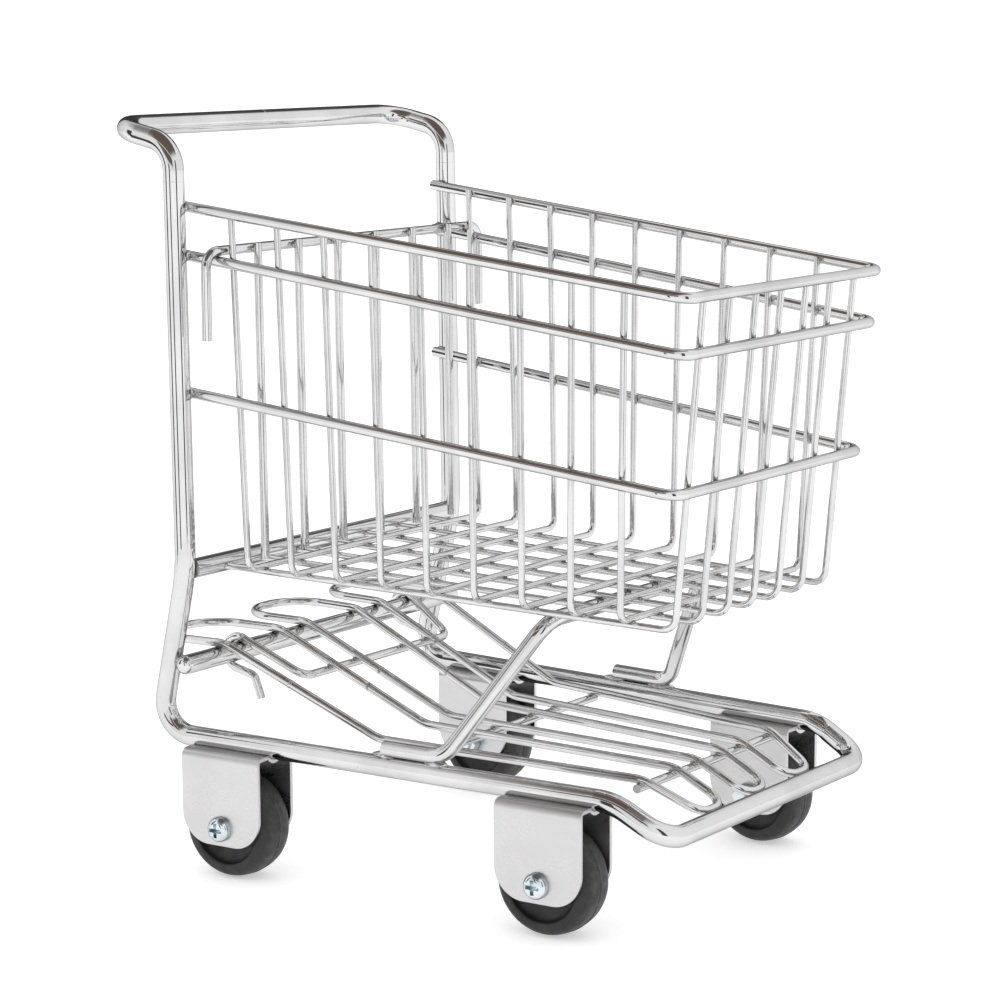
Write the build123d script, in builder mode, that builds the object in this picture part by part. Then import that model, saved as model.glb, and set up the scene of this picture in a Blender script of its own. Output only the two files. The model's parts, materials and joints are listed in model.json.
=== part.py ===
from build123d import *
import os

# Small wire shopping cart. Millimetres, +X is the front, +Z is up, the ground is z = 0,
# and the cart is a mirror image about y = 0.

# Wire and rod diameters
frame_dia = 6.35
crossbar_dia = 6.0
ring_dia = 3.2
rib_dia = 2.05
support_dia = 4.76
gate_bar_dia = 3.0
gate_wire_dia = 2.6
tray_dia = 2.6

# A resistance weld sinks two crossing wires into each other by this much
weld_sink = 0.15

# Main frame: corner points of the rod's centre line, as half-width and height
handle_x = -95.9
handle_half = 68.0
handle_z = 224.8
post_top_x = -73.2
post_top_z = 219.9
post_half = 67.2
kink_x = -71.8
kink_z = 92.4
rail_rear_x = -84.3
rail_rear_half = 66.3
rail_front_x = 76.0
rail_front_half = 57.2
rail_z = 40.8
bumper_x = 92.7
bumper_half = 55.3
bumper_z = 31.8
handle_bend = 9.5
kink_bend = 55.0
rail_rear_bend = 9.5
rail_front_bend = 20.0
bumper_bend = 9.0

# Lower rear cross bar, welded to the front faces of the leaning post legs
lower_bar_leg_z = 64.5
lower_bar_half = 69.5
lower_bar_end_rounding = 2.4

# Basket: ring levels run from 0 at the rim to 1 at the floor, at the rear rib and the front rib.
# Heights are for the rim wire's axis and the floor ribs' axis at x = 0
rim_z = 193.15
rim_fall = 0.1139
rim_front_x = 97.5
floor_z = 92.05
floor_fall = 0.0223
rib_count = 9
rib_top_rear_x = -57.9
rib_top_front_x = 76.5
rib_floor_rear_x = -53.9
rib_floor_front_x = 73.3
rib_top_rear_half = 59.4
rib_top_front_half = 52.9
rib_floor_rear_half = 59.1
rib_floor_front_half = 49.7
rib_bend = 3.5
rib_top_rise = 0.8
ring_levels = {
    "basket_rim": (0.0, 0.0),
    "basket_ring_upper": (0.137, 0.164),
    "basket_ring_lower": (0.523, 0.581),
}
ring_rear_x = -75.0
ring_bend = 5.5
front_lean = 0.091
long_wire_count = 7
long_wire_rear_pitch = 17.2
long_wire_front_pitch = 14.0
long_wire_bend = 4.5

# Basket support: feet on the rails, legs leaning in and forward to a bar under the floor
support_foot_x = -1.0
support_bend_x = 20.0
support_top_x = 43.2
support_top_half = 41.5
support_foot_bend = 8.0
support_top_bend = 9.0

# Rear gate, hung on the upper basket ring
gate_x = -60.5
gate_clearance = 0.1
gate_half = 68.0
gate_tail = 26.2
gate_wire_count = 6
gate_wire_pitch = 19.0
gate_wire_end_x = -57.0
gate_wire_end_z = 94.8
gate_tail_bend = 5.0

# Lower tray: three hairpin loops, straight in plan, resting on the lower cross bar and the bumper
tray_halves_rear = [52.5, 25.8, 12.8]
tray_halves_front = [35.6, 18.7, 6.9]
tray_halves_tip = [30.6, 17.8, 6.2]
tray_incline_x = -70.0
tray_flat_x = -15.0
tray_flat_z = 43.7
tray_drop_x = 72.0
tray_drop_z = 42.0
tray_tip_x = 88.5
tray_tip_z = 33.7
tray_rear_tip_x = -97.7
tray_clearance = 0.1
tray_bend = 12.0
hairpin_roundness = 0.92
tray_cross_bars = {"tray_cross_wire_front": (71.0, 37.5), "tray_cross_wire_rear": (1.0, 46.0)}
hinge_wire_x = -51.0
hinge_wire_half = 37.0
hook_half = 42.5
hook_bend = 4.4
hook_side_bend = 4.0
hook_tail_bend = 2.5
hinge_wire_bend = 5.0
# Corners of the hook's centre line, forward of and above the lower cross bar's axis
hook_over = 1.2
hook_behind = -4.6
hook_beneath = -4.8
hook_tail_bend_place = (6.2, -7.1)
hook_tail_end_place = (8.9, -14.1)

# Casters
wheel_radius = 16.0
wheel_width = 13.8
wheel_shoulder = 3.4
wheel_recess_radius = 11.6
wheel_recess_depth = 2.6
hub_radius = 5.4
hub_face_radius = 4.8
hub_width = 14.7
axle_dia = 4.0
axle_clearance = 0.05
caster_rear_x = -55.1
caster_front_x = 56.4
bracket_sheet = 1.2
bracket_width = 17.5
bracket_length = 28.6
bracket_top_drop = 1.6
bracket_foot_z = 10.6
bracket_foot_bend = 9.5
bracket_edge_bend = 2.4
screw_head_dia = 7.6
screw_head_height = 2.8
screw_crown_bend = 2.1
screw_recess_length = 4.4
screw_recess_width = 1.2
screw_recess_depth = 1.7
screw_end_length = 1.0
nut_width = 7.0
nut_height = 3.2
nut_chamfer = 0.3


def between(start, end, share):
    """The value a given share of the way from start to end."""
    return start + (end - start) * share


def make_wire(points, radii, diameter, closed=False):
    """A round wire along straight runs joined by tangent bends. A closed one is swept as two halves."""
    with BuildLine() as path:
        FilletPolyline(*points, radius=radii, close=closed)
    wire = path.wire()
    spans = [wire.trim(0, 0.5), wire.trim(0.5, 1)] if closed else [wire]
    with BuildPart() as rod:
        for span in spans:
            with BuildSketch(Plane(origin=span @ 0, z_dir=span % 0)) as section:
                Circle(diameter / 2)
            sweep(sections=section.sketch, path=span)
    return rod


def save(name, node):
    node.part.label = name
    export_step(node.part, f"parts/{name}.step")


def mirrored(points):
    """The points, then their mirror images about y = 0 in reverse order."""
    return points + [(x, -y, z) for x, y, z in reversed(points)]


def rim_height(x):
    return rim_z - rim_fall * x


def floor_height(x):
    return floor_z - floor_fall * x


def rail_half(x):
    return between(rail_rear_half, rail_front_half, (x - rail_rear_x) / (rail_front_x - rail_rear_x))


def tray_half(wire, x):
    if x > tray_drop_x:
        share = (x - tray_drop_x) / (tray_tip_x - tray_drop_x)
        return between(tray_halves_front[wire], tray_halves_tip[wire], share)
    share = (x - tray_incline_x) / (tray_drop_x - tray_incline_x)
    return between(tray_halves_rear[wire], tray_halves_front[wire], share)


def rib_point(share, level):
    """A point on the ribs' axes: share runs 0 to 1 from rear to front, level 0 to 1 from rim to floor."""
    top_x = between(rib_top_rear_x, rib_top_front_x, share)
    low_x = between(rib_floor_rear_x, rib_floor_front_x, share)
    x = between(top_x, low_x, level)
    top_half = between(rib_top_rear_half, rib_top_front_half, share)
    low_half = between(rib_floor_rear_half, rib_floor_front_half, share)
    z = between(rim_height(top_x), floor_height(low_x), level)
    return x, between(top_half, low_half, level), z


def front_wall_x(z):
    """Where the long wires' axes lie on the front wall at height z."""
    rim_front_z = rim_height(rim_front_x)
    return rim_front_x - ring_offset - front_lean * (rim_front_z - z)


os.makedirs("parts", exist_ok=True)
ring_offset = (ring_dia + rib_dia) / 2 - weld_sink

# Main frame: one closed loop of rod, started in the middle of the handle where its ends are welded
frame_side = [
    (handle_x, handle_half, handle_z),
    (post_top_x, post_half, post_top_z),
    (kink_x, post_half, kink_z),
    (rail_rear_x, rail_rear_half, rail_z),
    (rail_front_x, rail_front_half, rail_z),
    (bumper_x, bumper_half, bumper_z),
]
frame_side_bends = [handle_bend, handle_bend, kink_bend, rail_rear_bend, rail_front_bend, bumper_bend]
frame_bends = frame_side_bends + frame_side_bends[::-1]
main_frame = make_wire(mirrored(frame_side), frame_bends, frame_dia, closed=True)
save("main_frame", main_frame)

# Upper cross bar, butted between the posts' inner faces
upper_bar_half = post_half - frame_dia / 2 + weld_sink
with BuildPart() as upper_rear_crossbar:
    with BuildSketch(Plane.XZ.offset(-upper_bar_half)):
        with Locations((kink_x, kink_z)):
            Circle(crossbar_dia / 2)
    extrude(amount=2 * upper_bar_half)
save("upper_rear_crossbar", upper_rear_crossbar)

# Lower cross bar, with rounded ends, on the front faces of the legs
leg_lean = Vector(kink_x - rail_rear_x, 0, kink_z - rail_z).normalized()
leg_x = between(rail_rear_x, kink_x, (lower_bar_leg_z - rail_z) / (kink_z - rail_z))
bar_offset = (frame_dia + crossbar_dia) / 2 - weld_sink
lower_bar_x = leg_x + bar_offset * leg_lean.Z
lower_bar_z = lower_bar_leg_z - bar_offset * leg_lean.X
with BuildPart() as lower_rear_crossbar:
    with BuildSketch(Plane.XZ.offset(-lower_bar_half)):
        with Locations((lower_bar_x, lower_bar_z)):
            Circle(crossbar_dia / 2)
    extrude(amount=2 * lower_bar_half)
    fillet(lower_rear_crossbar.edges().filter_by(GeomType.CIRCLE), radius=lower_bar_end_rounding)
save("lower_rear_crossbar", lower_rear_crossbar)

# Basket rings, each a U that runs past the posts at the rear
ring_nodes = {}
for name, (rear_level, front_level) in ring_levels.items():
    rear_x, rear_half, rear_z = rib_point(0, rear_level)
    front_x, front_half, front_z = rib_point(1, front_level)
    slope = (front_z - rear_z) / (front_x - rear_x)
    taper = (front_half - rear_half) / (front_x - rear_x)
    corner_z = front_z
    for _ in range(4):
        corner_x = front_wall_x(corner_z) + ring_offset
        corner_z = front_z + slope * (corner_x - front_x)
    end_point = (
        ring_rear_x,
        rear_half + ring_offset + taper * (ring_rear_x - rear_x),
        rear_z + slope * (ring_rear_x - rear_x),
    )
    corner_point = (corner_x, front_half + ring_offset + taper * (corner_x - front_x), corner_z)
    ring_nodes[name] = end_point, corner_point
    ring = make_wire(mirrored([end_point, corner_point]), [ring_bend, ring_bend], ring_dia)
    save(name, ring)

# Basket ribs: side, floor, side
for number in range(rib_count):
    share = number / (rib_count - 1)
    top_x, top_half, top_z = rib_point(share, 0)
    low_point = rib_point(share, 1)
    top_point = (top_x, top_half, top_z + rib_top_rise)
    rib = make_wire(mirrored([top_point, low_point]), [rib_bend, rib_bend], rib_dia)
    save(f"basket_rib_{number + 1}", rib)

# Long wires: under the ribs, then up the front wall inside the rings
long_wire_drop = rib_dia - weld_sink
long_rear_x = kink_x + crossbar_dia / 2 - weld_sink
long_corner_z = floor_height(rim_front_x) - long_wire_drop
long_corner_x = front_wall_x(long_corner_z)
long_top_z = rim_height(rim_front_x) + rib_top_rise
for number in range(long_wire_count):
    lane = number - (long_wire_count - 1) / 2
    rear_point = (long_rear_x, lane * long_wire_rear_pitch, floor_height(long_rear_x) - long_wire_drop)
    corner_point = (long_corner_x, lane * long_wire_front_pitch, long_corner_z)
    top_point = (front_wall_x(long_top_z), lane * long_wire_front_pitch, long_top_z)
    long_wire = make_wire([rear_point, corner_point, top_point], [long_wire_bend], rib_dia)
    save(f"basket_long_wire_{number + 1}", long_wire)

# Basket support
support_foot_z = rail_z + (frame_dia + support_dia) / 2 - weld_sink
support_top_z = floor_height(support_top_x) - long_wire_drop - (rib_dia + support_dia) / 2 + weld_sink
support_points = [
    (support_foot_x, rail_half(support_foot_x), support_foot_z),
    (support_bend_x, rail_half(support_bend_x), support_foot_z),
    (support_top_x, support_top_half, support_top_z),
]
support_bends = [support_foot_bend, support_top_bend, support_top_bend, support_foot_bend]
basket_support = make_wire(mirrored(support_points), support_bends, support_dia)
save("basket_support", basket_support)

# Rear gate: the bar rests on the upper ring and its ends hang down outside the ring
upper_end, upper_corner = ring_nodes["basket_ring_upper"]
gate_share = (gate_x - upper_end[0]) / (upper_corner[0] - upper_end[0])
gate_z = between(upper_end[2], upper_corner[2], gate_share) + (ring_dia + gate_bar_dia) / 2 + gate_clearance
gate_points = [(gate_x, gate_half, gate_z - gate_tail), (gate_x, gate_half, gate_z)]
gate_bar = make_wire(mirrored(gate_points), [gate_tail_bend, gate_tail_bend], gate_bar_dia)
save("gate_bar", gate_bar)

gate_wire_top_x = gate_x + (gate_bar_dia + gate_wire_dia) / 2 - weld_sink
gate_wire_top_z = gate_z + gate_bar_dia / 2
for number in range(gate_wire_count):
    lane = number - (gate_wire_count - 1) / 2
    foot = Vector(gate_wire_end_x, lane * gate_wire_pitch, gate_wire_end_z)
    head = Vector(gate_wire_top_x, lane * gate_wire_pitch, gate_wire_top_z)
    with BuildSketch(Plane(origin=foot, z_dir=head - foot)) as gate_section:
        Circle(gate_wire_dia / 2)
    with BuildPart() as gate_wire:
        extrude(gate_section.sketch, amount=(head - foot).length)
    save(f"gate_wire_{number + 1}", gate_wire)

# Lower tray: closed hairpin loops. Each runs level over the cross bar, down an incline, along the
# flat, and down to rest against the back of the bumper.
tray_bar_z = lower_bar_z + (crossbar_dia + tray_dia) / 2 + tray_clearance
tray_profile = [
    (tray_rear_tip_x, tray_bar_z),
    (tray_incline_x, tray_bar_z),
    (tray_flat_x, tray_flat_z),
    (tray_drop_x, tray_drop_z),
    (tray_tip_x, tray_tip_z),
]


def tray_loop(left, right):
    """A closed loop whose two long wires are given by functions of x."""
    points = [(x, left(x), z) for x, z in tray_profile]
    points += [(x, right(x), z) for x, z in reversed(tray_profile)]
    rear_bend = (left(tray_rear_tip_x) - right(tray_rear_tip_x)) / 2 * hairpin_roundness
    tip_bend = (left(tray_tip_x) - right(tray_tip_x)) / 2 * hairpin_roundness
    side_bends = [rear_bend, tray_bend, tray_bend, tray_bend, tip_bend]
    return make_wire(points, side_bends + side_bends[::-1], tray_dia, closed=True)


tray_left = tray_loop(lambda x: tray_half(0, x), lambda x: tray_half(1, x))
save("tray_loop_left", tray_left)
tray_middle = tray_loop(lambda x: tray_half(2, x), lambda x: -tray_half(2, x))
save("tray_loop_middle", tray_middle)
tray_right = tray_loop(lambda x: -tray_half(1, x), lambda x: -tray_half(0, x))
save("tray_loop_right", tray_right)

# Straight wires under the tray's flat part
tray_wire_drop = tray_dia - weld_sink
for name, (x, half) in tray_cross_bars.items():
    share = (x - tray_flat_x) / (tray_drop_x - tray_flat_x)
    z = between(tray_flat_z, tray_drop_z, share) - tray_wire_drop
    with BuildPart() as cross_wire:
        with BuildSketch(Plane.XZ.offset(-half)):
            with Locations((x, z)):
                Circle(tray_dia / 2)
        extrude(amount=2 * half)
    save(name, cross_wire)

# Hinge wire: across under the incline, up both sides, over and round the lower cross bar, then
# forward under it with a turned-down tail
incline_slope = (tray_flat_z - tray_bar_z) / (tray_flat_x - tray_incline_x)
incline_drop = tray_wire_drop * (1 + incline_slope**2) ** 0.5
hinge_wire_z = tray_bar_z + incline_slope * (hinge_wire_x - tray_incline_x) - incline_drop
hook_points = [
    (lower_bar_x + hook_tail_end_place[0], hook_half, lower_bar_z + hook_tail_end_place[1]),
    (lower_bar_x + hook_tail_bend_place[0], hook_half, lower_bar_z + hook_tail_bend_place[1]),
    (lower_bar_x + hook_behind, hook_half, lower_bar_z + hook_beneath),
    (lower_bar_x + hook_behind, hook_half, tray_bar_z),
    (lower_bar_x + hook_over, hook_half, tray_bar_z),
    (hinge_wire_x, hinge_wire_half, hinge_wire_z),
]
hook_bends = [hook_tail_bend, hook_bend, hook_bend, hook_side_bend, hinge_wire_bend]
tray_hinge_wire = make_wire(mirrored(hook_points), hook_bends + hook_bends[::-1], tray_dia)
save("tray_hinge_wire", tray_hinge_wire)


# Casters. Each is built about its own axle, in a plane set square to the tapering rail.
def caster_plane(x, side):
    direction = Vector(rail_front_x - rail_rear_x, side * (rail_front_half - rail_rear_half), 0)
    return Plane(origin=(x, side * rail_half(x), wheel_radius), x_dir=direction, z_dir=(0, 0, 1))


def make_bracket(plane):
    """Pressed sheet: two cheeks, and a top with a half-round groove that holds the rail."""
    cheek_plane = Plane(origin=plane.origin, x_dir=plane.y_dir, z_dir=plane.x_dir)
    side_plane = Plane(origin=plane.origin, x_dir=plane.x_dir, z_dir=-plane.y_dir)
    rail_up = rail_z - wheel_radius
    top_up = rail_up - bracket_top_drop
    foot_up = bracket_foot_z - wheel_radius
    groove_radius = frame_dia / 2
    with BuildSketch(cheek_plane) as section:
        with Locations((0, (top_up + foot_up) / 2)):
            Rectangle(bracket_width, top_up - foot_up)
        fillet(section.vertices().group_by(Axis.Y)[-1], radius=bracket_edge_bend)
    with BuildSketch(cheek_plane) as hollow:
        with Locations((0, (top_up + foot_up) / 2 - bracket_sheet)):
            Rectangle(bracket_width - 2 * bracket_sheet, top_up - foot_up)
    with BuildSketch(cheek_plane) as groove_skin:
        with Locations((0, rail_up)):
            Circle(groove_radius + bracket_sheet)
        with Locations((0, top_up + bracket_width / 2)):
            Rectangle(bracket_width, bracket_width, mode=Mode.SUBTRACT)
    with BuildSketch(cheek_plane) as groove:
        with Locations((0, rail_up)):
            Circle(groove_radius)
    with BuildSketch(side_plane) as outline:
        with Locations((0, (top_up + foot_up) / 2)):
            Rectangle(bracket_length, top_up - foot_up)
        fillet(outline.vertices().group_by(Axis.Y)[0], radius=bracket_foot_bend)
    with BuildSketch(side_plane) as axle_hole:
        Circle(axle_dia / 2)
    with BuildPart() as bracket:
        extrude(section.sketch, amount=bracket_length / 2, both=True)
        extrude(hollow.sketch, amount=bracket_length, both=True, mode=Mode.SUBTRACT)
        extrude(groove_skin.sketch, amount=bracket_length / 2, both=True)
        extrude(groove.sketch, amount=bracket_length, both=True, mode=Mode.SUBTRACT)
        extrude(outline.sketch, amount=bracket_width, both=True, mode=Mode.INTERSECT)
        extrude(axle_hole.sketch, amount=bracket_width, both=True, mode=Mode.SUBTRACT)
    return bracket


def make_wheel(plane):
    """Rubber wheel with rounded shoulders, a recess on each side and a plain bore."""
    with BuildSketch(Plane(origin=plane.origin, x_dir=plane.x_dir, z_dir=-plane.y_dir)) as bore:
        Circle(axle_dia / 2 + axle_clearance)
    with BuildPart() as wheel:
        with BuildSketch(Plane(origin=plane.origin, x_dir=plane.x_dir, z_dir=plane.y_dir)):
            Circle(wheel_radius)
        extrude(amount=wheel_width / 2, both=True)
        fillet(wheel.edges().filter_by(GeomType.CIRCLE), radius=wheel_shoulder)
        for side in (1, -1):
            face_plane = Plane(
                origin=plane.origin + plane.y_dir * (side * wheel_width / 2),
                x_dir=plane.x_dir,
                z_dir=plane.y_dir * side,
            )
            with BuildSketch(face_plane):
                Circle(wheel_recess_radius)
                Circle(hub_radius, mode=Mode.SUBTRACT)
            extrude(amount=-wheel_recess_depth, mode=Mode.SUBTRACT)
            with BuildSketch(face_plane):
                Circle(hub_face_radius)
            extrude(amount=(hub_width - wheel_width) / 2)
        extrude(bore.sketch, amount=hub_width, both=True, mode=Mode.SUBTRACT)
    return wheel


def make_screw(plane, side):
    """Cross-recessed pan-head screw through the bracket, with its head on the outer cheek."""
    outward = plane.y_dir * side
    head_origin = plane.origin + outward * (bracket_width / 2)
    head_plane = Plane(origin=head_origin, x_dir=plane.x_dir, z_dir=outward)
    shank_length = bracket_width + nut_height + screw_end_length
    with BuildPart() as screw:
        with BuildSketch(head_plane):
            Circle(screw_head_dia / 2)
        extrude(amount=screw_head_height)
        crown = screw.faces().sort_by(Axis(plane.origin, outward))[-1]
        fillet(crown.edges(), radius=screw_crown_bend)
        with BuildSketch(head_plane.offset(screw_head_height)):
            Rectangle(screw_recess_length, screw_recess_width)
            Rectangle(screw_recess_width, screw_recess_length)
        extrude(amount=-screw_recess_depth, mode=Mode.SUBTRACT)
        with BuildSketch(head_plane):
            Circle(axle_dia / 2)
        extrude(amount=-shank_length)
    return screw


def make_nut(plane, side):
    """Hexagon nut on the inner cheek."""
    inward = plane.y_dir * -side
    nut_origin = plane.origin + inward * (bracket_width / 2)
    with BuildPart() as nut:
        with BuildSketch(Plane(origin=nut_origin, x_dir=plane.x_dir, z_dir=inward)):
            RegularPolygon(nut_width / 2, 6, major_radius=False)
            Circle(axle_dia / 2, mode=Mode.SUBTRACT)
        extrude(amount=nut_height)
        rims = nut.edges().filter_by(GeomType.LINE).filter_by(Axis(nut.part.center(), inward), reverse=True)
        chamfer(rims, length=nut_chamfer)
    return nut


for end, x in (("rear", caster_rear_x), ("front", caster_front_x)):
    for hand, side in (("left", 1), ("right", -1)):
        plane = caster_plane(x, side)
        save(f"caster_bracket_{end}_{hand}", make_bracket(plane))
        save(f"wheel_{end}_{hand}", make_wheel(plane))
        save(f"axle_screw_{end}_{hand}", make_screw(plane, side))
        save(f"axle_nut_{end}_{hand}", make_nut(plane, side))
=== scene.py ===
import json
import math
import random

import bmesh
import bpy
from mathutils import Matrix, Vector, noise
from mathutils.bvhtree import BVHTree
from mathutils.geometry import intersect_ray_tri


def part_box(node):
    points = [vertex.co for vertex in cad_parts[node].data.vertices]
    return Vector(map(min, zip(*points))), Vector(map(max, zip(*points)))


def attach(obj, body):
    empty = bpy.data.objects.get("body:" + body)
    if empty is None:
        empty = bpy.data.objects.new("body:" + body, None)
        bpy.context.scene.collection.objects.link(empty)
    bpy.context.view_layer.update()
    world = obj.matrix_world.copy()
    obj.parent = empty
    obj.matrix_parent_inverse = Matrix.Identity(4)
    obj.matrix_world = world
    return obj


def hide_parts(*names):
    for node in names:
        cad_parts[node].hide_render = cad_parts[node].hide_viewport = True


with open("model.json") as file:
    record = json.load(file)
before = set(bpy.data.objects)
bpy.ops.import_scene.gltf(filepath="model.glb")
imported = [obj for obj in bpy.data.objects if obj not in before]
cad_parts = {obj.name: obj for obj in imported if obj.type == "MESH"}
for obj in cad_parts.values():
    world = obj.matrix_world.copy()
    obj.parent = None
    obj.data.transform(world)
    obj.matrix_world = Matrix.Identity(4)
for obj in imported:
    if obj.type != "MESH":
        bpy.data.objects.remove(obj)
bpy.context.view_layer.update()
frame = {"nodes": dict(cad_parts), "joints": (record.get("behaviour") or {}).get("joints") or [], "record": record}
press_fits = frame["record"]["behaviour"]["press_fits"]
joints = {joint["name"]: joint for joint in frame["joints"]}
casters = ("rear_left", "rear_right", "front_left", "front_right")
MM = 0.001


# ---------------------------------------------------------------- materials


def add(tree, kind, settings=None, **inputs):
    """Adds a node. An input is a value or another node's output, named with _ for spaces."""
    node = tree.nodes.new(kind)
    for key, value in (settings or {}).items():
        setattr(node, key, value)
    for key, value in inputs.items():
        socket = node.inputs[int(key[1:])] if key[1:].isdigit() else node.inputs[key.replace("_", " ")]
        if isinstance(value, bpy.types.NodeSocket):
            tree.links.new(value, socket)
        else:
            socket.default_value = value
    return node


def new_material(name):
    material = bpy.data.materials.new(name)
    material.use_nodes = True
    return material, material.node_tree, material.node_tree.nodes["Principled BSDF"]


def grain(tree, place, scale, detail=3.0, stretch=(1, 1, 1)):
    """Noise from 0 to 1, scale in features a metre, drawn out by stretch."""
    mapping = add(tree, "ShaderNodeMapping", Vector=place, Scale=stretch)
    texture = add(tree, "ShaderNodeTexNoise", Vector=mapping.outputs["Vector"], Scale=scale, Detail=detail)
    return texture.outputs["Fac"]


def remap(tree, value, low, high, to_low, to_high):
    settings = {"clamp": True, "interpolation_type": "SMOOTHSTEP"}
    inputs = {"From_Min": low, "From_Max": high, "To_Min": to_low, "To_Max": to_high}
    return add(tree, "ShaderNodeMapRange", settings, Value=value, **inputs).outputs["Result"]


def blend(tree, share, first, second):
    """Mix of two colours; each is a colour or an output."""
    mix = add(tree, "ShaderNodeMix", {"data_type": "RGBA"}, i0=share)
    for socket, value in ((mix.inputs[6], first), (mix.inputs[7], second)):
        if isinstance(value, bpy.types.NodeSocket):
            tree.links.new(value, socket)
        else:
            socket.default_value = (*value, 1)
    return mix.outputs[2]


def maths(tree, operation, first, second):
    return add(tree, "ShaderNodeMath", {"operation": operation}, i0=first, i1=second).outputs[0]


def vector_maths(tree, operation, **inputs):
    return add(tree, "ShaderNodeVectorMath", {"operation": operation}, **inputs)


def crevice(tree, reach):
    """1 in the open, falling to 0 in a corner closer than reach."""
    node = add(tree, "ShaderNodeAmbientOcclusion", {"samples": 6}, Distance=reach)
    return node.outputs["AO"]


def bumps(tree, shader, *layers):
    """Stacks (height output, depth in metres) layers of relief on a shader."""
    normal = None
    for height, depth in layers:
        node = add(tree, "ShaderNodeBump", Strength=1.0, Distance=depth, Height=height)
        if normal is not None:
            tree.links.new(normal, node.inputs["Normal"])
        normal = node.outputs["Normal"]
    tree.links.new(normal, shader.inputs["Normal"])


# What plated metal reflects at grazing angles, which draws a thin dark outline round each wire
EDGE_TINT = (0.45, 0.45, 0.45)
PEEL_DEPTH = 0.0004 * MM
PIT_DEPTH = 0.003 * MM


def plated_metal(
    name, bright, dull, tarnish_and_shade, polish, haze, wave, streak=(1, 1, 1), shade_reach=1.4 * MM, pitting=0.5
):
    """Plated metal: clouded colour, painted shade in the corners, pits, hazy patches and a faintly wavy surface.

    polish and haze are the roughness of its clear and its hazy patches. wave is the depth of its waves,
    and streak draws its texture out along the axes where it is below 1.
    """
    material, tree, shader = new_material(name)
    place = add(tree, "ShaderNodeTexCoord").outputs["Object"]
    clouds = remap(tree, grain(tree, place, 55, 4.0), 0.35, 0.7, 0, 1)
    colour = blend(tree, clouds, bright, dull)
    pits = remap(tree, grain(tree, place, 1500, 2.0), 0.70, 0.78, 0, pitting)
    colour = blend(tree, pits, colour, tarnish_and_shade)
    # Painted shade: in corners that the ambient occlusion finds, the colour darkens in uneven patches towards the
    # dark colour
    corner = remap(tree, crevice(tree, shade_reach), 0.35, 0.8, 0.45, 0)
    patchy_shade = maths(tree, "MULTIPLY", corner, remap(tree, grain(tree, place, 420, 3.0), 0.3, 0.6, 0.35, 1))
    colour = blend(tree, patchy_shade, colour, tarnish_and_shade)
    tree.links.new(colour, shader.inputs["Base Color"])
    smears = remap(tree, grain(tree, place, 130, 4.0, streak), 0.42, 0.68, polish, haze)
    lines = remap(tree, grain(tree, place, 2600, 2.0, streak), 0.35, 0.75, 0, 0.05)
    tree.links.new(maths(tree, "ADD", smears, lines), shader.inputs["Roughness"])
    shader.inputs["Metallic"].default_value = 1.0
    shader.inputs["Specular Tint"].default_value = (*EDGE_TINT, 1)
    waves = grain(tree, place, 210, 2.0, streak)
    peel = grain(tree, place, 1900, 2.0, streak)
    bumps(tree, shader, (waves, wave), (peel, PEEL_DEPTH), (pits, -PIT_DEPTH))
    return material


WELD_LUMP_DEPTH = 0.09 * MM


def weld_metal(name):
    """Fused metal under plating: lumpy, greyer, with heat tint."""
    material, tree, shader = new_material(name)
    place = add(tree, "ShaderNodeTexCoord").outputs["Object"]
    clouds = remap(tree, grain(tree, place, 500, 4.0), 0.35, 0.65, 0, 1)
    colour = blend(tree, clouds, (0.62, 0.63, 0.64), (0.33, 0.33, 0.335))
    tint = remap(tree, grain(tree, place, 230, 2.0), 0.55, 0.7, 0, 0.5)
    colour = blend(tree, tint, colour, (0.36, 0.29, 0.22))
    tree.links.new(colour, shader.inputs["Base Color"])
    tree.links.new(remap(tree, clouds, 0, 1, 0.16, 0.38), shader.inputs["Roughness"])
    shader.inputs["Metallic"].default_value = 1.0
    lumps = grain(tree, place, 900, 4.0)
    bumps(tree, shader, (lumps, WELD_LUMP_DEPTH))
    return material


# The wheels' scuffs fade in between these radii
TREAD_INNER_RADIUS = 14.6 * MM
TREAD_OUTER_RADIUS = 15.9 * MM
# The turned rings on the wheels' sides, as radians of a wave per metre of radius
TURNED_RING_RATE = 9000.0
TURNED_RING_DEPTH = 0.006 * MM
RUBBER_GRAIN_DEPTH = 0.03 * MM
SCUFF_DEPTH = 0.02 * MM


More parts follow.
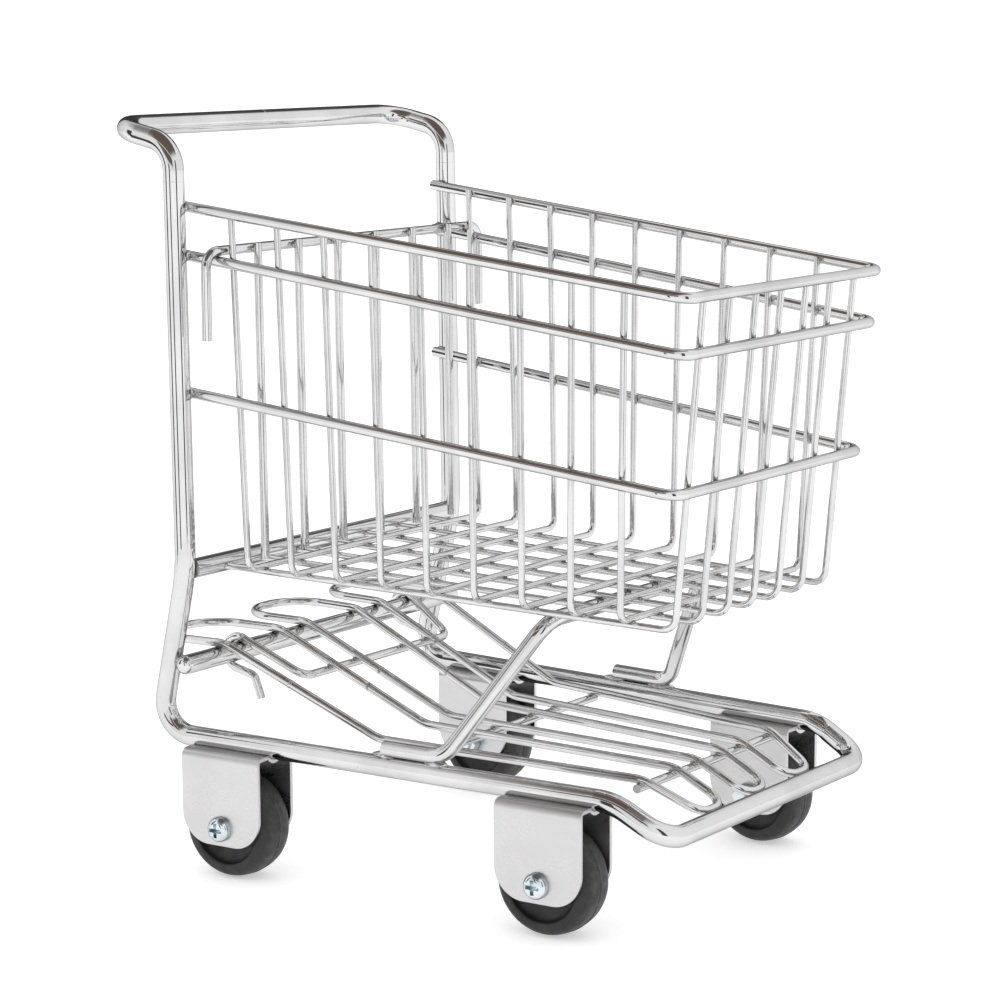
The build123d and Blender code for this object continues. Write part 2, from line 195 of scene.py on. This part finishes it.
def wheel_rubber(name, centre, axis):
    """Moulded rubber: scuffed grey tread, turned rings on the sides, fine grain and dust."""
    material, tree, shader = new_material(name)
    place = add(tree, "ShaderNodeTexCoord").outputs["Object"]
    arm = vector_maths(tree, "SUBTRACT", i0=place, i1=centre).outputs["Vector"]
    square_arm = vector_maths(tree, "CROSS_PRODUCT", i0=arm, i1=axis).outputs["Vector"]
    radius = vector_maths(tree, "LENGTH", i0=square_arm).outputs["Value"]
    clouds = remap(tree, grain(tree, place, 160, 5.0), 0.3, 0.7, 0, 1)
    colour = blend(tree, clouds, (0.014, 0.0135, 0.0135), (0.024, 0.0228, 0.022))
    tread = remap(tree, radius, TREAD_INNER_RADIUS, TREAD_OUTER_RADIUS, 0, 1)
    scuffs = remap(tree, grain(tree, place, 620, 5.0), 0.42, 0.66, 0.15, 0.75)
    colour = blend(tree, maths(tree, "MULTIPLY", tread, scuffs), colour, (0.048, 0.0455, 0.044))
    dust = remap(tree, grain(tree, place, 2400, 3.0), 0.68, 0.78, 0, 0.22)
    colour = blend(tree, dust, colour, (0.14, 0.135, 0.13))
    tree.links.new(colour, shader.inputs["Base Color"])
    sheen = remap(tree, grain(tree, place, 330, 4.0), 0.35, 0.65, 0.46, 0.62)
    tree.links.new(sheen, shader.inputs["Roughness"])
    shader.inputs["Specular IOR Level"].default_value = 0.42
    phase = maths(tree, "MULTIPLY", radius, TURNED_RING_RATE)
    turned_rings = add(tree, "ShaderNodeMath", {"operation": "SINE"}, i0=phase).outputs[0]
    fine_grain = grain(tree, place, 2600, 3.0)
    layers = ((turned_rings, TURNED_RING_DEPTH), (fine_grain, RUBBER_GRAIN_DEPTH), (scuffs, SCUFF_DEPTH))
    bumps(tree, shader, *layers)
    return material


# Chrome is streaked along the axis that its wires run along
ALONG_X = (0.25, 1, 1)
ALONG_Y = (1, 0.25, 1)
ALONG_Z = (1, 1, 0.25)
# Chrome's third colour darkens its pits and is also its painted shade in corners
CHROME = {"bright": (0.68, 0.68, 0.682), "dull": (0.60, 0.60, 0.605), "tarnish_and_shade": (0.24, 0.21, 0.185)}
WIRE_GLOSS = {"polish": 0.06, "haze": 0.13, "wave": 0.008 * MM}

rod_chrome = plated_metal("chrome_rod", **CHROME, polish=0.03, haze=0.075, wave=0.010 * MM)
ring_chrome = plated_metal("chrome_ring", **CHROME, polish=0.045, haze=0.10, wave=0.009 * MM, streak=ALONG_X)
rib_chrome = plated_metal("chrome_rib", **CHROME, **WIRE_GLOSS, streak=ALONG_Z)
lane_chrome = plated_metal("chrome_lane", **CHROME, **WIRE_GLOSS, streak=ALONG_X)
bar_chrome = plated_metal("chrome_bar", **CHROME, polish=0.04, haze=0.09, wave=0.009 * MM, streak=ALONG_Y)
sheet_plate = plated_metal(
    "satin_sheet",
    bright=(0.625, 0.617, 0.62),
    dull=(0.60, 0.592, 0.595),
    tarnish_and_shade=(0.42, 0.40, 0.38),
    polish=0.27,
    haze=0.34,
    wave=0.003 * MM,
    streak=(0.3, 1, 1),
    shade_reach=0.8 * MM,
    pitting=0.06,
)
zinc_plate = plated_metal(
    "blue_zinc",
    bright=(0.74, 0.80, 0.83),
    dull=(0.42, 0.52, 0.57),
    tarnish_and_shade=(0.10, 0.19, 0.21),
    polish=0.08,
    haze=0.22,
    wave=0.05 * MM,
    shade_reach=1.3 * MM,
)
weld_plate = weld_metal("weld_metal")

# The finish of each node, by how its name starts
FINISHES = {
    "main_frame": rod_chrome,
    "upper_rear_crossbar": bar_chrome,
    "lower_rear_crossbar": bar_chrome,
    "basket_r": ring_chrome,
    "basket_rib": rib_chrome,
    "basket_long": lane_chrome,
    "basket_support": rod_chrome,
    "gate_bar": bar_chrome,
    "gate_wire": rib_chrome,
    "tray_loop": ring_chrome,
    "tray_cross": bar_chrome,
    "tray_hinge": bar_chrome,
    "axle": zinc_plate,
    "caster": sheet_plate,
}


def paint(piece, material):
    piece.data.materials.clear()
    piece.data.materials.append(material)


for name, node in frame["nodes"].items():
    prefixes = [prefix for prefix in FINISHES if name.startswith(prefix)]
    if prefixes:
        paint(node, FINISHES[max(prefixes, key=len)])


# ---------------------------------------------------------------- mesh pieces


def make_piece(name, mesh_maker, body, material):
    """A new piece from a bmesh, smooth shaded, riding on a body."""
    mesh = bpy.data.meshes.new(name)
    mesh_maker.to_mesh(mesh)
    mesh_maker.free()
    for polygon in mesh.polygons:
        polygon.use_smooth = True
    piece = bpy.data.objects.new(name, mesh)
    bpy.context.scene.collection.objects.link(piece)
    paint(piece, material)
    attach(piece, body)
    return piece


def across(direction):
    """Two directions square to the given one and to each other."""
    helper = Vector((0, 0, 1)) if abs(direction.z) < 0.9 else Vector((1, 0, 0))
    first = direction.cross(helper).normalized()
    return first, direction.cross(first).normalized()


# The front floor crossings of the CAD stop up to 0.075 mm short of touching, and this finds them too
WELD_SLACK = 0.06 * MM


def triangles(name):
    """A node's corners and triangles, with its surface moved outwards by WELD_SLACK."""
    mesh = frame["nodes"][name].data
    mesh.calc_loop_triangles()
    corners = [vertex.co + vertex.normal * WELD_SLACK for vertex in mesh.vertices]
    return corners, [tuple(triangle.vertices) for triangle in mesh.loop_triangles]


surfaces = {name: triangles(name) for name in frame["nodes"]}
finders = {name: BVHTree.FromPolygons(*surface) for name, surface in surfaces.items()}


def edge_hits(edges_of, target):
    """Where the edges of one triangle pass through another."""
    hits = []
    for start, end in ((0, 1), (1, 2), (2, 0)):
        origin = edges_of[start]
        run = edges_of[end] - origin
        hit = intersect_ray_tri(*target, run, origin, True)
        if hit is not None and (hit - origin).length <= run.length and (hit - origin).dot(run) >= 0:
            hits.append(hit)
    return hits


def weld_places(first, second, reach=7 * MM):
    """The middle of each place where two welded nodes meet. Hits closer than reach are one place."""
    clusters = []
    for left, right in finders[first].overlap(finders[second]):
        one = [surfaces[first][0][index] for index in surfaces[first][1][left]]
        other = [surfaces[second][0][index] for index in surfaces[second][1][right]]
        for hit in edge_hits(one, other) + edge_hits(other, one):
            near = [cluster for cluster in clusters if (cluster[0] - hit).length < reach]
            if near:
                near[0][1].append(hit)
                near[0][0] = sum(near[0][1], Vector()) / len(near[0][1])
            else:
                clusters.append([hit, [hit]])
    return [cluster[0] for cluster in clusters]


def add_nugget(maker, centre, radii, axes, detail, seed):
    """A lump of fused metal, with radii along three axes, roughened by noise."""
    frame_of_lump = Matrix(axes).transposed()
    lump = bmesh.ops.create_icosphere(maker, subdivisions=detail, radius=1.0)
    for vertex in lump["verts"]:
        unit = vertex.co.copy()
        broad = noise.noise(unit * 1.7 + Vector((seed, 0, 0)))
        fine = noise.noise(unit * 5 + Vector((0, seed, 0)))
        swell = 1 + 0.22 * broad + 0.08 * fine
        stretched = Vector((unit.x * radii[0], unit.y * radii[1], unit.z * radii[2])) * swell
        vertex.co = centre + frame_of_lump @ stretched


def pairs_of(first, second):
    """The press fits between nodes whose names start with the two given words."""
    found = []
    for one, other in press_fits:
        if one.startswith(first) and other.startswith(second):
            found.append((one, other))
    return found


def random_direction(dice):
    return Vector([dice.uniform(-1, 1) for axis in range(3)])


def weld_group(name, first, second, radii, along=None, detail=1, body="frame", slot="chrome_wire"):
    """Nuggets on every weld between two kinds of node, given by how their names start.

    The radii are in millimetres, the first of them in the direction along, or in a random one.
    """
    dice = random.Random(name)
    maker = bmesh.new()
    for pair in pairs_of(first, second):
        for place in weld_places(*pair):
            direction = Vector(along) if along else random_direction(dice)
            direction.normalize()
            side, lift = across(direction)
            sizes = [radius * MM * dice.uniform(0.88, 1.14) for radius in radii]
            add_nugget(maker, place, sizes, (direction, side, lift), detail, dice.uniform(0, 90))
    return make_piece(name, maker, body, weld_plate)


X = (1, 0, 0)
Y = (0, 1, 0)
Z = (0, 0, 1)
RING_WELD = (0.95, 0.9, 0.8)

for ring in ("basket_rim", "basket_ring"):
    weld_group(f"welds_{ring}_posts", "main_frame", ring, (2.9, 1.8, 2.1), along=X, detail=3)
    weld_group(f"welds_{ring}_ribs", ring, "basket_rib", RING_WELD)
    weld_group(f"welds_{ring}_front", ring, "basket_long", RING_WELD)
weld_group("welds_floor", "basket_rib", "basket_long", (0.8, 0.8, 0.65))
weld_group("welds_floor_rear", "upper_rear", "basket_long", (1.2, 1.1, 0.9), along=X, detail=2)
weld_group("welds_support", "basket_support", "basket_long", (1.1, 1.1, 0.8))
rod_weld = {"detail": 3, "slot": "chrome_rod"}
weld_group("welds_support_feet", "main_frame", "basket_support", (4.2, 1.6, 1.3), along=X, **rod_weld)
weld_group("welds_lower_bar", "main_frame", "lower_rear", (1.6, 2.0, 2.9), along=Y, **rod_weld)
weld_group("welds_gate", "gate_bar", "gate_wire", (1.3, 1.2, 0.9), along=Y, detail=2, body="gate")
weld_group("welds_tray", "tray_loop", "tray_cross", (1.25, 1.1, 0.95), along=Y, detail=2, body="tray")
weld_group("welds_tray_hinge", "tray_loop", "tray_hinge", (1.2, 1.1, 0.9), along=Y, detail=2, body="tray")

# Cut points of a section lie closer together than this, and two wires lie further apart
SECTION_GAP = 2.2 * MM


def slice_rings(name, origin, normal):
    """Centres of the round sections that a plane cuts from a node."""
    corners, faces = surfaces[name]
    cuts = []
    for face in faces:
        for start, end in ((0, 1), (1, 2), (2, 0)):
            one, other = corners[face[start]], corners[face[end]]
            high, low = (one - origin).dot(normal), (other - origin).dot(normal)
            if (high > 0) != (low > 0):
                cuts.append(one.lerp(other, high / (high - low)))
    sections = []
    for cut in cuts:
        near = [
            section for section in sections if min((cut - point).length for point in section) < SECTION_GAP
        ]
        if near:
            near[0].append(cut)
        else:
            sections.append([cut])
    centres = []
    for section in sections:
        low = Vector([min(point[axis] for point in section) for axis in range(3)])
        high = Vector([max(point[axis] for point in section) for axis in range(3)])
        centres.append((low + high) / 2)
    return centres


COLLAR_SINK = 0.03 * MM


def add_collar(maker, centre, direction, radius, width, rise, seed, turns=40, steps=6):
    """A raised band round a wire, uneven as flash from a butt weld is, with its edges sunk in the wire."""
    first, second = across(direction)
    loops = []
    for step in range(steps + 1):
        share = step / steps
        offset = (share - 0.5) * width
        loop = []
        for turn in range(turns):
            angle = 2 * math.pi * turn / turns
            way = first * math.cos(angle) + second * math.sin(angle)
            uneven = 0.75 + 0.5 * noise.noise(way * 2.2 + Vector((seed, 0, share * 2)))
            height = radius - COLLAR_SINK + rise * math.sin(math.pi * share) ** 1.5 * uneven
            loop.append(maker.verts.new(centre + direction * offset + way * height))
        loops.append(loop)
    for low, high in zip(loops, loops[1:] + loops[:1]):
        for turn in range(turns):
            after = (turn + 1) % turns
            maker.faces.new((low[turn], low[after], high[after], high[turn]))


def wire_at(name, near, normal):
    """Centre and direction of a node's wire where the plane through near cuts it closest to near."""
    near, normal = Vector(near), Vector(normal).normalized()
    centre = min(slice_rings(name, near, normal), key=lambda point: (point - near).length)
    ahead = min(slice_rings(name, near + normal * MM, normal), key=lambda point: (point - centre).length)
    return centre, (ahead - centre).normalized()


# How far apart the bands of a piece are in the noise that makes them uneven
SEED_STEP = 7.3


def collars(name, places, radius, width, rise, body, material):
    """Raised bands on wires. Each place is a node, a point near the wire and the plane's normal."""
    maker = bmesh.new()
    for number, (node, near, normal) in enumerate(places):
        centre, direction = wire_at(node, near, normal)
        add_collar(maker, centre, direction, radius, width, rise, SEED_STEP * number)
    return make_piece(name, maker, body, material)


ROD_RADIUS = 3.175 * MM
TRAY_RADIUS = 1.3 * MM
CLAMP_DROP = 19 * MM
frame_low, frame_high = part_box("main_frame")
bar_low, bar_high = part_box("upper_rear_crossbar")

handle_middle = (frame_low.x + ROD_RADIUS, 0, frame_high.z - ROD_RADIUS)
seam_places = [("main_frame", handle_middle, Y)]
collars("handle_seam", seam_places, ROD_RADIUS, 0.9 * MM, 0.09 * MM, "frame", rod_chrome)

post_places = [(bar_low.x, side * bar_high.y, frame_high.z - CLAMP_DROP) for side in (1, -1)]
clamp_places = [("main_frame", place, Z) for place in post_places]
collars("clamp_marks", clamp_places, ROD_RADIUS, 0.7 * MM, 0.06 * MM, "frame", rod_chrome)

# Where the butt welds of each tray loop are along x, in millimetres, on its left and on its right wire
BUTT_WELDS = {"tray_loop_left": (-36, -46), "tray_loop_middle": (-32, -41), "tray_loop_right": (-36, -46)}
butt_places = []
for loop, (left_x, right_x) in BUTT_WELDS.items():
    loop_low, loop_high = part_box(loop)
    butt_places.append((loop, (left_x * MM, loop_high.y, loop_high.z), X))
    butt_places.append((loop, (right_x * MM, loop_low.y, loop_high.z), X))
collars("tray_butt_welds", butt_places, TRAY_RADIUS, 1.3 * MM, 0.2 * MM, "tray", weld_plate)

MERGE_DISTANCE = 0.001 * MM
FLAT_ANGLE = math.radians(0.4)
SHARP_ANGLE = math.radians(38)


def softened(node, name, body, material, width):
    """A copy of a CAD node with its edges broken, which stands for it."""
    maker = bmesh.new()
    maker.from_mesh(frame["nodes"][node].data)
    bmesh.ops.remove_doubles(maker, verts=maker.verts, dist=MERGE_DISTANCE)
    bmesh.ops.dissolve_limit(maker, angle_limit=FLAT_ANGLE, verts=maker.verts, edges=maker.edges)
    edges = [edge for edge in maker.edges if edge.is_manifold and edge.calc_face_angle() > SHARP_ANGLE]
    shape = {"segments": 2, "profile": 0.5, "affect": "EDGES", "clamp_overlap": True}
    bmesh.ops.bevel(maker, geom=edges, offset=width, **shape)
    piece = make_piece(name, maker, body, material)
    weighted = piece.modifiers.new("weighted", "WEIGHTED_NORMAL")
    weighted.weight = 90
    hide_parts(node)
    return piece


# Node, the piece that stands for it, its slot and material, and how far its edges are broken
SOFTENED = (
    ("caster_bracket", "bracket_pressing", "plated_sheet", sheet_plate, 0.16 * MM),
    ("axle_screw", "cross_head_screw", "zinc_screw", zinc_plate, 0.10 * MM),
    ("axle_nut", "hexagon_nut", "zinc_screw", zinc_plate, 0.12 * MM),
)
for caster in casters:
    for node, piece, slot, material, width in SOFTENED:
        softened(f"{node}_{caster}", f"{piece}_{caster}", "frame", material, width)


# ---------------------------------------------------------------- wheels

# The wheel's section in millimetres. A half is the distance from its middle plane.
WHEEL_RADIUS = 16.0
PARTING_RISE = 0.13
PARTING_HALF = 0.325
TREAD_HALF = 6.9
TREAD_HEIGHT = 3.4
TREAD_FULLNESS = 0.78
TREAD_END_ANGLE = 87
CHEEK_ROUND = 0.6
DISH_RADIUS = 11.4
DISH_ROUND = 1.6
WEB_HALF = 4.35
HUB_HALF = 7.35
HUB_RADIUS = 4.8
HUB_ROUND = 0.5
HUB_FOOT_ROUND = 0.8
BORE_RADIUS = 2.05


def bend(offset, radius, size, start, end, steps, height=None, fullness=1.0):
    """Points on an arc of the section about (offset, radius), from one angle in degrees to another.

    A height makes it part of an ellipse, and a fullness below 1 fills its corner out.
    """
    rise = size if height is None else height
    points = []
    for step in range(steps + 1):
        angle = math.radians(start + (end - start) * step / steps)
        away, out = math.cos(angle), math.sin(angle)
        away = math.copysign(abs(away) ** fullness, away)
        out = math.copysign(abs(out) ** fullness, out)
        points.append((offset + size * away, radius + rise * out))
    return points


def wheel_section():
    """Half of the wheel's section, from the bore to the parting line, as (half width, radius)."""
    crown = WHEEL_RADIUS - PARTING_RISE
    tread_radius = crown - TREAD_HEIGHT
    section = [(HUB_HALF, BORE_RADIUS)]
    section += bend(HUB_HALF - HUB_ROUND, HUB_RADIUS - HUB_ROUND, HUB_ROUND, 0, 90, 4)
    section += bend(WEB_HALF + HUB_FOOT_ROUND, HUB_RADIUS + HUB_FOOT_ROUND, HUB_FOOT_ROUND, 270, 180, 4)
    section += bend(WEB_HALF + DISH_ROUND, DISH_RADIUS - DISH_ROUND, DISH_ROUND, 180, 90, 6)
    section += bend(TREAD_HALF - CHEEK_ROUND, DISH_RADIUS + CHEEK_ROUND, CHEEK_ROUND, -90, 0, 4)
    section += bend(0, tread_radius, TREAD_HALF, 0, TREAD_END_ANGLE, 14, TREAD_HEIGHT, TREAD_FULLNESS)
    section += bend(0, crown, PARTING_HALF, 0, 90, 4, PARTING_RISE)
    return section


def make_wheel(caster, turns=120):
    """Moulded wheel turned about its axle: crowned tread with a parting line, dished sides and a hub."""
    joint = joints[f"wheel_{caster}_spin"]
    centre, axis = Vector(joint["pos_m"]), Vector(joint["axis"]).normalized()
    first, second = across(axis)
    half = wheel_section()
    outline = half + [(-offset, radius) for offset, radius in half[-2::-1]]
    maker = bmesh.new()
    loops = []
    for offset, radius in outline:
        loop = []
        for turn in range(turns):
            angle = 2 * math.pi * turn / turns
            way = first * math.cos(angle) + second * math.sin(angle)
            loop.append(maker.verts.new(centre + axis * offset * MM + way * radius * MM))
        loops.append(loop)
    for low, high in zip(loops, loops[1:] + loops[:1]):
        for turn in range(turns):
            after = (turn + 1) % turns
            maker.faces.new((low[turn], low[after], high[after], high[turn]))
    bmesh.ops.recalc_face_normals(maker, faces=maker.faces)
    material = wheel_rubber(f"rubber_{caster}", centre, axis)
    wheel = make_piece(f"moulded_wheel_{caster}", maker, f"wheel_{caster}", material)
    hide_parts(f"wheel_{caster}")


for caster in casters:
    make_wheel(caster)


# ---------------------------------------------------------------- camera, light and floor

STUDIO_WHITE = (1.1, 1.1, 1.1)
CAMERA_PLACE = Vector((0.5106, -0.7171, 0.2568))
CAMERA_FORWARD = Vector((-0.5739, 0.8024, -0.1638)).normalized()
CAMERA_ROLL = math.radians(-0.26)

camera_data = bpy.data.cameras.new("camera")
camera_data.sensor_width = 36.0
camera_data.lens = 105.37
camera_data.shift_x = -0.00254
camera_data.shift_y = 0.00206
camera = bpy.data.objects.new("camera", camera_data)
bpy.context.scene.collection.objects.link(camera)
level_right = CAMERA_FORWARD.cross(Vector((0, 0, 1))).normalized()
level_up = level_right.cross(CAMERA_FORWARD)
right = level_right * math.cos(CAMERA_ROLL) + level_up * math.sin(CAMERA_ROLL)
up = right.cross(CAMERA_FORWARD)
turn = Matrix((right, up, -CAMERA_FORWARD)).transposed()
camera.matrix_world = Matrix.Translation(CAMERA_PLACE) @ turn.to_4x4()
bpy.context.scene.camera = camera

world = bpy.data.worlds.new("studio")
bpy.context.scene.world = world
world.use_nodes = True
world.node_tree.nodes["Background"].inputs["Color"].default_value = (1, 1, 1, 1)
world.node_tree.nodes["Background"].inputs["Strength"].default_value = STUDIO_WHITE[0]
bpy.context.scene.view_settings.view_transform = "Standard"


FLOOR_HALF = 30.0
FLOOR_GLOW = 0.42


def make_floor():
    """Pale paper, which glows a little so that it is as white as the studio round it."""
    material, tree, shader = new_material("pale_paper")
    place = add(tree, "ShaderNodeTexCoord").outputs["Object"]
    colour = blend(tree, grain(tree, place, 40, 3.0), (0.80, 0.80, 0.80), (0.77, 0.77, 0.77))
    tree.links.new(colour, shader.inputs["Base Color"])
    shader.inputs["Roughness"].default_value = 0.8
    shader.inputs["Emission Color"].default_value = (1, 1, 1, 1)
    shader.inputs["Emission Strength"].default_value = FLOOR_GLOW
    bumps(tree, shader, (grain(tree, place, 900, 3.0), 0.01 * MM))
    maker = bmesh.new()
    bmesh.ops.create_grid(maker, x_segments=8, y_segments=8, size=FLOOR_HALF)
    mesh = bpy.data.meshes.new("floor")
    maker.to_mesh(mesh)
    maker.free()
    floor = bpy.data.objects.new("floor", mesh)
    bpy.context.scene.collection.objects.link(floor)
    paint(floor, material)


def reflected_card(name, maker, shade, soft):
    """A dark card that shows only in reflections. It pales to the white of the studio over the outer
    part of its width (soft[0]) and of its height (soft[1]), each a share of the whole."""
    mesh = bpy.data.meshes.new(name)
    maker.to_mesh(mesh)
    maker.free()
    card = bpy.data.objects.new(name, mesh)
    bpy.context.scene.collection.objects.link(card)
    material, tree, shader = new_material(name)
    spread = add(tree, "ShaderNodeUVMap", {"uv_map": "spread"}).outputs["UV"]
    parts = add(tree, "ShaderNodeSeparateXYZ", Vector=spread)
    shares = []
    for axis, margin in zip("XY", soft):
        away = maths(tree, "ABSOLUTE", maths(tree, "SUBTRACT", parts.outputs[axis], 0.5), 0.0)
        shares.append(remap(tree, away, 0.5 - margin, 0.5, 1, 0))
    depth = maths(tree, "MULTIPLY", *shares)
    tree.links.new(blend(tree, depth, STUDIO_WHITE, shade), shader.inputs["Emission Color"])
    shader.inputs["Base Color"].default_value = (0, 0, 0, 1)
    shader.inputs["Specular IOR Level"].default_value = 0.0
    shader.inputs["Emission Strength"].default_value = 1.0
    paint(card, material)
    card.visible_camera = False
    card.visible_diffuse = False
    card.visible_shadow = False


def add_card(name, corner, columns, rows, shade, soft):
    """A card as a grid. corner(across, up) gives the place at shares of its width and height."""
    maker = bmesh.new()
    layer = maker.loops.layers.uv.new("spread")
    points = {}
    for column in range(columns + 1):
        for row in range(rows + 1):
            share = (column / columns, row / rows)
            points[column, row] = (maker.verts.new(corner(*share)), share)
    for column in range(columns):
        for row in range(rows):
            ring = [points[column + i, row + j] for i, j in ((0, 0), (1, 0), (1, 1), (0, 1))]
            face = maker.faces.new([vertex for vertex, share in ring])
            for loop, (vertex, share) in zip(face.loops, ring):
                loop[layer].uv = share
    reflected_card(name, maker, shade, soft)


def wall_card(name, start, end, distance, low, high, shade, soft):
    """A card standing round the object between two compass angles in degrees, from one height to another."""

    def corner(across_share, up_share):
        angle = math.radians(start + (end - start) * across_share)
        return math.cos(angle) * distance, math.sin(angle) * distance, low + (high - low) * up_share

    add_card(name, corner, 24, 1, shade, soft)


def plane_card(name, low, high, shade, soft):
    """A flat card between two corners, whose width is along x and whose height is along y or z."""

    def corner(across_share, up_share):
        shares = (across_share, up_share, up_share)
        return [start + (end - start) * share for start, end, share in zip(low, high, shares)]

    add_card(name, corner, 1, 1, shade, soft)


# Large dark cards round and above the object give the wires their grey and brown lines, and narrow
# upright strips give the posts and ribs theirs
wall_card("rear_flag", 108, 154, 1.5, 0.2, 1.9, (0.10, 0.10, 0.105), (0.3, 0.12))
wall_card("high_flag", 138, 212, 1.5, 1.45, 2.6, (0.14, 0.125, 0.115), (0.2, 0.25))
STRIP = {"distance": 0.62, "low": -0.1, "high": 0.5, "shade": (0.07, 0.07, 0.07), "soft": (0.15, 0.1)}
wall_card("right_strip", -35, -20, **STRIP)
wall_card("near_strip", -104, -92, **STRIP)
wall_card("left_strip", -145, -130, **STRIP)
plane_card("far_flag", (-0.9, 0.3, 0.235), (-0.04, 0.3, 0.62), (0.11, 0.11, 0.112), (0.1, 0.2))
plane_card("near_flag", (-0.27, -0.5, 0.25), (0.35, -0.5, 0.48), (0.18, 0.137, 0.11), (0.12, 0.2))
plane_card("overhead_flag", (-0.37, -0.5, 0.47), (0.38, 0.1, 0.47), (0.165, 0.128, 0.105), (0.3, 0.1))

make_floor()
